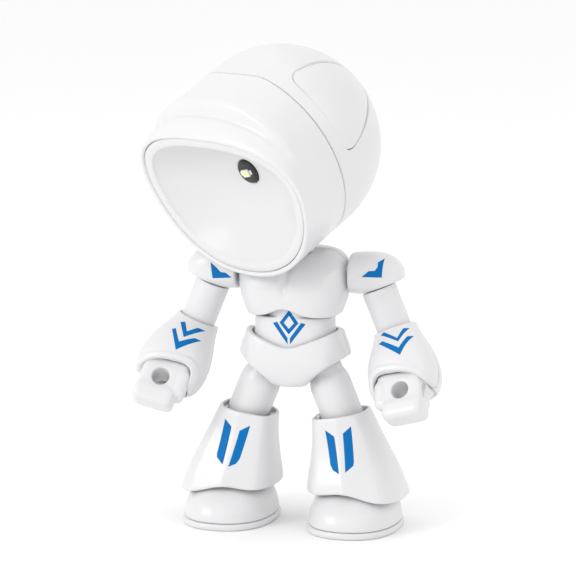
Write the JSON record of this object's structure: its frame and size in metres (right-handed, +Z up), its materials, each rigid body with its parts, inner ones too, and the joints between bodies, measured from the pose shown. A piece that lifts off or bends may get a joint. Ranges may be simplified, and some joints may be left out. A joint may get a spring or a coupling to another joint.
{
  "type": "robot figure lamp",
  "caption": "Standing jointed robot figure whose helmet-shaped head is a lamp: a shallow white bowl with one LED. Closed fists with a through hole.",
  "frame": {"origin": "on the floor, below the middle of the whole object's box", "axes": "+Z up; the robot faces -Y and its left hand is on the +X side"},
  "size_m": [0.1084, 0.083, 0.1651],
  "materials": {
    "shell_white": "gloss",
    "bowl_white": "satin",
    "inner_white": "satin",
    "steel": "satin",
    "tinned_steel": "satin",
    "black_board": "satin",
    "phosphor": "satin",
    "green_board": "satin",
    "cell_foil": "satin",
    "decal_blue": "satin"
  },
  "bodies": {
    "pelvis": {"pelvis_front": "shell_white", "pelvis_rear": "shell_white", "pelvis_screws": "steel", "abdomen": "shell_white", "waist_retainer": "steel"},
    "chest": {"chest_front": "shell_white", "chest_rear": "shell_white", "chest_screws": "steel"},
    "neck": {"neck_post": "shell_white"},
    "head": {"face_shell": "shell_white", "cranium_shell": "shell_white", "side_panels": "shell_white", "reflector": "bowl_white", "led_board": "black_board", "led_chip": "phosphor", "battery_cell": "cell_foil", "driver_board": "green_board", "usb_socket": "tinned_steel", "neck_yoke": "inner_white", "neck_pin": "steel", "head_screws": "steel"},
    "button": {"power_button": "inner_white"},
    "left_shoulder": {"left_shoulder_cap": "shell_white", "left_shoulder_axle": "steel"},
    "left_upper_arm": {"left_upper_arm": "shell_white"},
    "left_forearm": {"left_forearm_front": "shell_white", "left_forearm_rear": "shell_white", "left_elbow_pin": "steel", "left_wrist_pin": "steel"},
    "left_hand": {"left_hand": "shell_white"},
    "left_hip": {"left_hip_link": "inner_white"},
    "left_thigh": {"left_thigh_front": "shell_white", "left_thigh_rear": "shell_white"},
    "left_boot": {"left_boot": "shell_white", "left_knee_pin": "steel"},
    "left_ankle": {"left_ankle_link": "inner_white"},
    "left_foot": {"left_foot_upper": "shell_white", "left_foot_sole": "shell_white"},
    "right_shoulder": {"right_shoulder_cap": "shell_white", "right_shoulder_axle": "steel"},
    "right_upper_arm": {"right_upper_arm": "shell_white"},
    "right_forearm": {"right_forearm_front": "shell_white", "right_forearm_rear": "shell_white", "right_elbow_pin": "steel", "right_wrist_pin": "steel"},
    "right_hand": {"right_hand": "shell_white"},
    "right_hip": {"right_hip_link": "inner_white"},
    "right_thigh": {"right_thigh_front": "shell_white", "right_thigh_rear": "shell_white"},
    "right_boot": {"right_boot": "shell_white", "right_knee_pin": "steel"},
    "right_ankle": {"right_ankle_link": "inner_white"},
    "right_foot": {"right_foot_upper": "shell_white", "right_foot_sole": "shell_white"}
  },
  "joints": [
    {"name": "waist_turn", "type": "hinge", "parent": "pelvis", "child": "chest", "pos_m": [0.00013, 0.01342, 0.08], "axis": [0, 0, 1], "range_deg": [-25, 25]},
    {"name": "neck_turn", "type": "hinge", "parent": "chest", "child": "neck", "pos_m": [0.00013, 0.01342, 0.095], "axis": [0, 0, 1], "range_deg": [-3, 63]},
    {"name": "head_tilt", "type": "hinge", "parent": "neck", "child": "head", "pos_m": [0.00013, 0.01342, 0.1035], "axis": [0.866, -0.5, 0], "range_deg": [-30, 0]},
    {"name": "button_press", "type": "slide", "parent": "head", "child": "button", "axis": [-0.3716, -0.6436, -0.6691], "range_m": [0, 0.001], "stiffness_N_per_m": 300, "springref_m": -0.0005},
    {"name": "left_shoulder_turn", "type": "hinge", "parent": "chest", "child": "left_shoulder", "pos_m": [0.01413, 0.01342, 0.087], "axis": [1, 0, 0], "range_deg": [-60, 60]},
    {"name": "left_arm_twist", "type": "hinge", "parent": "left_shoulder", "child": "left_upper_arm", "pos_m": [0.02753, 0.01342, 0.087], "axis": [-0.3827, 0, 0.9239], "range_deg": [-45, 45]},
    {"name": "left_elbow_bend", "type": "hinge", "parent": "left_upper_arm", "child": "left_forearm", "pos_m": [0.03579, 0.01342, 0.06704], "axis": [0.9239, 0, 0.3827], "range_deg": [-10, 28]},
    {"name": "left_wrist_bend", "type": "hinge", "parent": "left_forearm", "child": "left_hand", "pos_m": [0.04214, 0.00137, 0.05172], "axis": [0.9239, 0, 0.3827], "range_deg": [-25, 10]},
    {"name": "left_hip_swing", "type": "hinge", "parent": "pelvis", "child": "left_hip", "pos_m": [0.01003, 0.01342, 0.055], "axis": [1, 0, 0], "range_deg": [-25, 20]},
    {"name": "left_hip_splay", "type": "hinge", "parent": "left_hip", "child": "left_thigh", "pos_m": [0.01003, 0.01342, 0.055], "axis": [0, -1, 0], "range_deg": [-4, 5]},
    {"name": "left_knee_bend", "type": "hinge", "parent": "left_thigh", "child": "left_boot", "pos_m": [0.01752, 0.01342, 0.03646], "axis": [0.9833, 0, 0.1822], "range_deg": [-15, 15]},
    {"name": "left_ankle_pitch", "type": "hinge", "parent": "left_boot", "child": "left_ankle", "pos_m": [0.02226, 0.01342, 0.01089], "axis": [0.9833, 0, 0.1822], "range_deg": [-3, 6]},
    {"name": "left_ankle_tilt", "type": "hinge", "parent": "left_ankle", "child": "left_foot", "pos_m": [0.02226, 0.01342, 0.01089], "axis": [0, -1, 0], "range_deg": [-4, 5]},
    {"name": "right_shoulder_turn", "type": "hinge", "parent": "chest", "child": "right_shoulder", "pos_m": [-0.01387, 0.01342, 0.087], "axis": [1, 0, 0], "range_deg": [-60, 60]},
    {"name": "right_arm_twist", "type": "hinge", "parent": "right_shoulder", "child": "right_upper_arm", "pos_m": [-0.02727, 0.01342, 0.087], "axis": [-0.3827, 0, -0.9239], "range_deg": [-45, 45]},
    {"name": "right_elbow_bend", "type": "hinge", "parent": "right_upper_arm", "child": "right_forearm", "pos_m": [-0.03554, 0.01342, 0.06704], "axis": [0.9239, 0, -0.3827], "range_deg": [-10, 28]},
    {"name": "right_wrist_bend", "type": "hinge", "parent": "right_forearm", "child": "right_hand", "pos_m": [-0.04189, 0.00137, 0.05172], "axis": [0.9239, 0, -0.3827], "range_deg": [-25, 10]},
    {"name": "right_hip_swing", "type": "hinge", "parent": "pelvis", "child": "right_hip", "pos_m": [-0.00977, 0.01342, 0.055], "axis": [1, 0, 0], "range_deg": [-25, 20]},
    {"name": "right_hip_splay", "type": "hinge", "parent": "right_hip", "child": "right_thigh", "pos_m": [-0.00977, 0.01342, 0.055], "axis": [0, 1, 0], "range_deg": [-4, 5]},
    {"name": "right_knee_bend", "type": "hinge", "parent": "right_thigh", "child": "right_boot", "pos_m": [-0.01727, 0.01342, 0.03646], "axis": [0.9833, 0, -0.1822], "range_deg": [-15, 15]},
    {"name": "right_ankle_pitch", "type": "hinge", "parent": "right_boot", "child": "right_ankle", "pos_m": [-0.022, 0.01342, 0.01089], "axis": [0.9833, 0, -0.1822], "range_deg": [-3, 6]},
    {"name": "right_ankle_tilt", "type": "hinge", "parent": "right_ankle", "child": "right_foot", "pos_m": [-0.022, 0.01342, 0.01089], "axis": [0, 1, 0], "range_deg": [-4, 5]}
  ]
}
